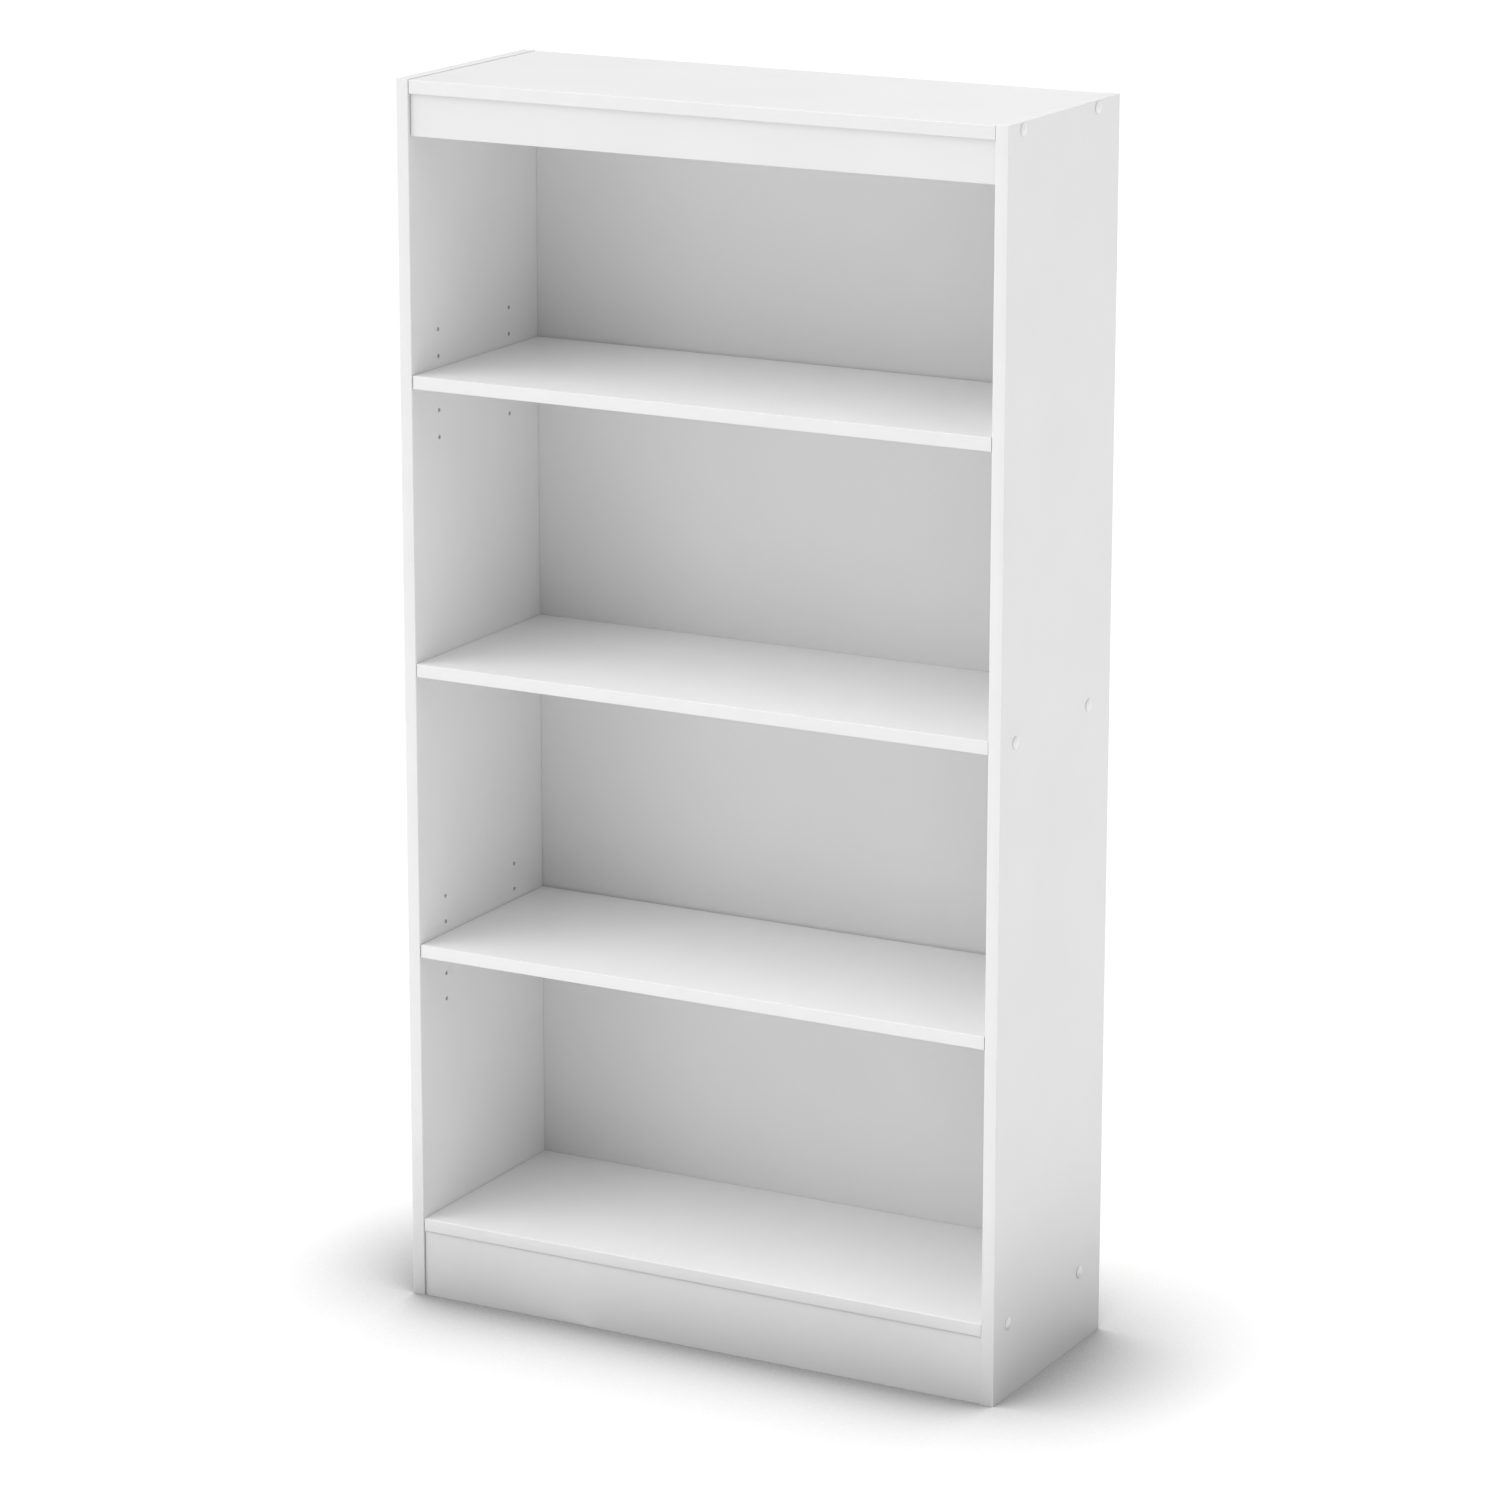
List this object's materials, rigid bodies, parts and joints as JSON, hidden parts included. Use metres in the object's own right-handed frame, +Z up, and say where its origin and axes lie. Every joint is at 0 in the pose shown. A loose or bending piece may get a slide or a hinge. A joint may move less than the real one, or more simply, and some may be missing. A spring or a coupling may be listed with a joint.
{
  "type": "bookcase",
  "caption": "Tall open-fronted white laminated bookcase with a fixed middle shelf, adjustable shelves on steel pins, a front rail, a kick plate and a nailed back.",
  "frame": {"origin": "on the floor, at the middle of the whole width and depth", "axes": "+Z up; -Y towards the open front, +Y towards the back panel; +X to the right of someone facing the front"},
  "size_m": [0.7822, 0.2904, 1.4721],
  "materials": {
    "white_laminate": "white melamine-faced particleboard, satin, with white plastic edge band",
    "white_hardboard": "thin hardboard, painted white on the inside and bare brown outside",
    "zinc_steel": "zinc-plated steel",
    "cap_plastic": "moulded white plastic, satin",
    "nickel_steel": "nickel-plated steel",
    "beech": "bare beech"
  },
  "bodies": {
    "case": {"left_side": "white_laminate", "right_side": "white_laminate", "top_panel": "white_laminate", "bottom_panel": "white_laminate", "middle_shelf": "white_laminate", "top_rail": "white_laminate", "kick_plate": "white_laminate", "back_panel": "white_hardboard", "screw_top_left_front": "zinc_steel", "screw_top_left_rear": "zinc_steel", "screw_top_right_front": "zinc_steel", "screw_top_right_rear": "zinc_steel", "screw_middle_left_front": "zinc_steel", "screw_middle_left_rear": "zinc_steel", "screw_middle_right_front": "zinc_steel", "screw_middle_right_rear": "zinc_steel", "screw_bottom_left_front": "zinc_steel", "screw_bottom_left_rear": "zinc_steel", "screw_bottom_right_front": "zinc_steel", "screw_bottom_right_rear": "zinc_steel", "screw_cap_top_left_front": "cap_plastic", "screw_cap_top_left_rear": "cap_plastic", "screw_cap_top_right_front": "cap_plastic", "screw_cap_top_right_rear": "cap_plastic", "screw_cap_middle_left_front": "cap_plastic", "screw_cap_middle_left_rear": "cap_plastic", "screw_cap_middle_right_front": "cap_plastic", "screw_cap_middle_right_rear": "cap_plastic", "screw_cap_bottom_left_front": "cap_plastic", "screw_cap_bottom_left_rear": "cap_plastic", "screw_cap_bottom_right_front": "cap_plastic", "screw_cap_bottom_right_rear": "cap_plastic", "dowel_rail_left_upper": "beech", "dowel_rail_left_lower": "beech", "dowel_rail_right_upper": "beech", "dowel_rail_right_lower": "beech", "dowel_kick_left_upper": "beech", "dowel_kick_left_lower": "beech", "dowel_kick_right_upper": "beech", "dowel_kick_right_lower": "beech"},
    "upper_shelf_body": {"upper_shelf": "white_laminate"},
    "lower_shelf_body": {"lower_shelf": "white_laminate"},
    "shelf_pin_upper_left_front_body": {"shelf_pin_upper_left_front": "nickel_steel"},
    "shelf_pin_upper_left_rear_body": {"shelf_pin_upper_left_rear": "nickel_steel"},
    "shelf_pin_upper_right_front_body": {"shelf_pin_upper_right_front": "nickel_steel"},
    "shelf_pin_upper_right_rear_body": {"shelf_pin_upper_right_rear": "nickel_steel"},
    "shelf_pin_lower_left_front_body": {"shelf_pin_lower_left_front": "nickel_steel"},
    "shelf_pin_lower_left_rear_body": {"shelf_pin_lower_left_rear": "nickel_steel"},
    "shelf_pin_lower_right_front_body": {"shelf_pin_lower_right_front": "nickel_steel"},
    "shelf_pin_lower_right_rear_body": {"shelf_pin_lower_right_rear": "nickel_steel"}
  },
  "joints": [
    {"name": "upper_shelf_slide", "type": "slide", "parent": "case", "child": "upper_shelf_body", "axis": [0, -1, 0], "range_m": [0, 0.29]},
    {"name": "lower_shelf_slide", "type": "slide", "parent": "case", "child": "lower_shelf_body", "axis": [0, -1, 0], "range_m": [0, 0.29]},
    {"name": "shelf_pin_upper_left_front_pull", "type": "slide", "parent": "case", "child": "shelf_pin_upper_left_front_body", "axis": [1, 0, 0], "range_m": [0, 0.0105]},
    {"name": "shelf_pin_upper_left_rear_pull", "type": "slide", "parent": "case", "child": "shelf_pin_upper_left_rear_body", "axis": [1, 0, 0], "range_m": [0, 0.0105]},
    {"name": "shelf_pin_upper_right_front_pull", "type": "slide", "parent": "case", "child": "shelf_pin_upper_right_front_body", "axis": [-1, 0, 0], "range_m": [0, 0.0105]},
    {"name": "shelf_pin_upper_right_rear_pull", "type": "slide", "parent": "case", "child": "shelf_pin_upper_right_rear_body", "axis": [-1, 0, 0], "range_m": [0, 0.0105]},
    {"name": "shelf_pin_lower_left_front_pull", "type": "slide", "parent": "case", "child": "shelf_pin_lower_left_front_body", "axis": [1, 0, 0], "range_m": [0, 0.0105]},
    {"name": "shelf_pin_lower_left_rear_pull", "type": "slide", "parent": "case", "child": "shelf_pin_lower_left_rear_body", "axis": [1, 0, 0], "range_m": [0, 0.0105]},
    {"name": "shelf_pin_lower_right_front_pull", "type": "slide", "parent": "case", "child": "shelf_pin_lower_right_front_body", "axis": [-1, 0, 0], "range_m": [0, 0.0105]},
    {"name": "shelf_pin_lower_right_rear_pull", "type": "slide", "parent": "case", "child": "shelf_pin_lower_right_rear_body", "axis": [-1, 0, 0], "range_m": [0, 0.0105]}
  ]
}
